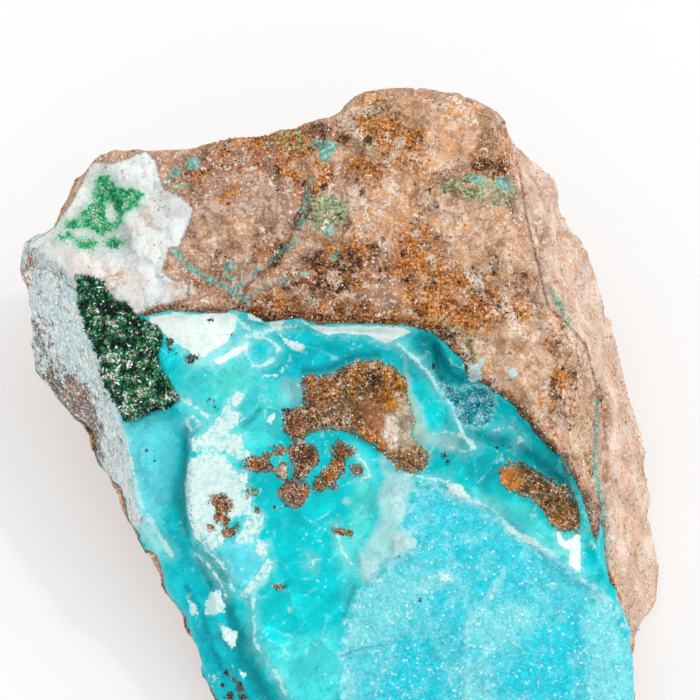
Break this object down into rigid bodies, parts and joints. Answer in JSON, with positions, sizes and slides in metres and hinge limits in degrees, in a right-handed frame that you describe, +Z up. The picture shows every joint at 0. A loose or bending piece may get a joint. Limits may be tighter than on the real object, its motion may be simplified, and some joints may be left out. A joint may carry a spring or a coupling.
{
  "type": "chrysocolla mineral specimen",
  "caption": "Hand-sized wedge of brown quartz rock with a broad turquoise chrysocolla vein and green malachite on its tilted face, resting on a flat break.",
  "frame": {"origin": "middle of the bounding box at the level of the flat break that the specimen rests on", "axes": "+Z up; the display face leans back from level and faces up and towards -Y; +X to the right of someone who looks at that face"},
  "size_m": [0.0657, 0.0724, 0.0387],
  "materials": {
    "stone": "waxy turquoise chrysocolla and malachite on matt sugary brown quartz and limonite"
  },
  "bodies": {
    "root": {"chrysocolla_specimen": "stone"}
  },
  "joints": []
}
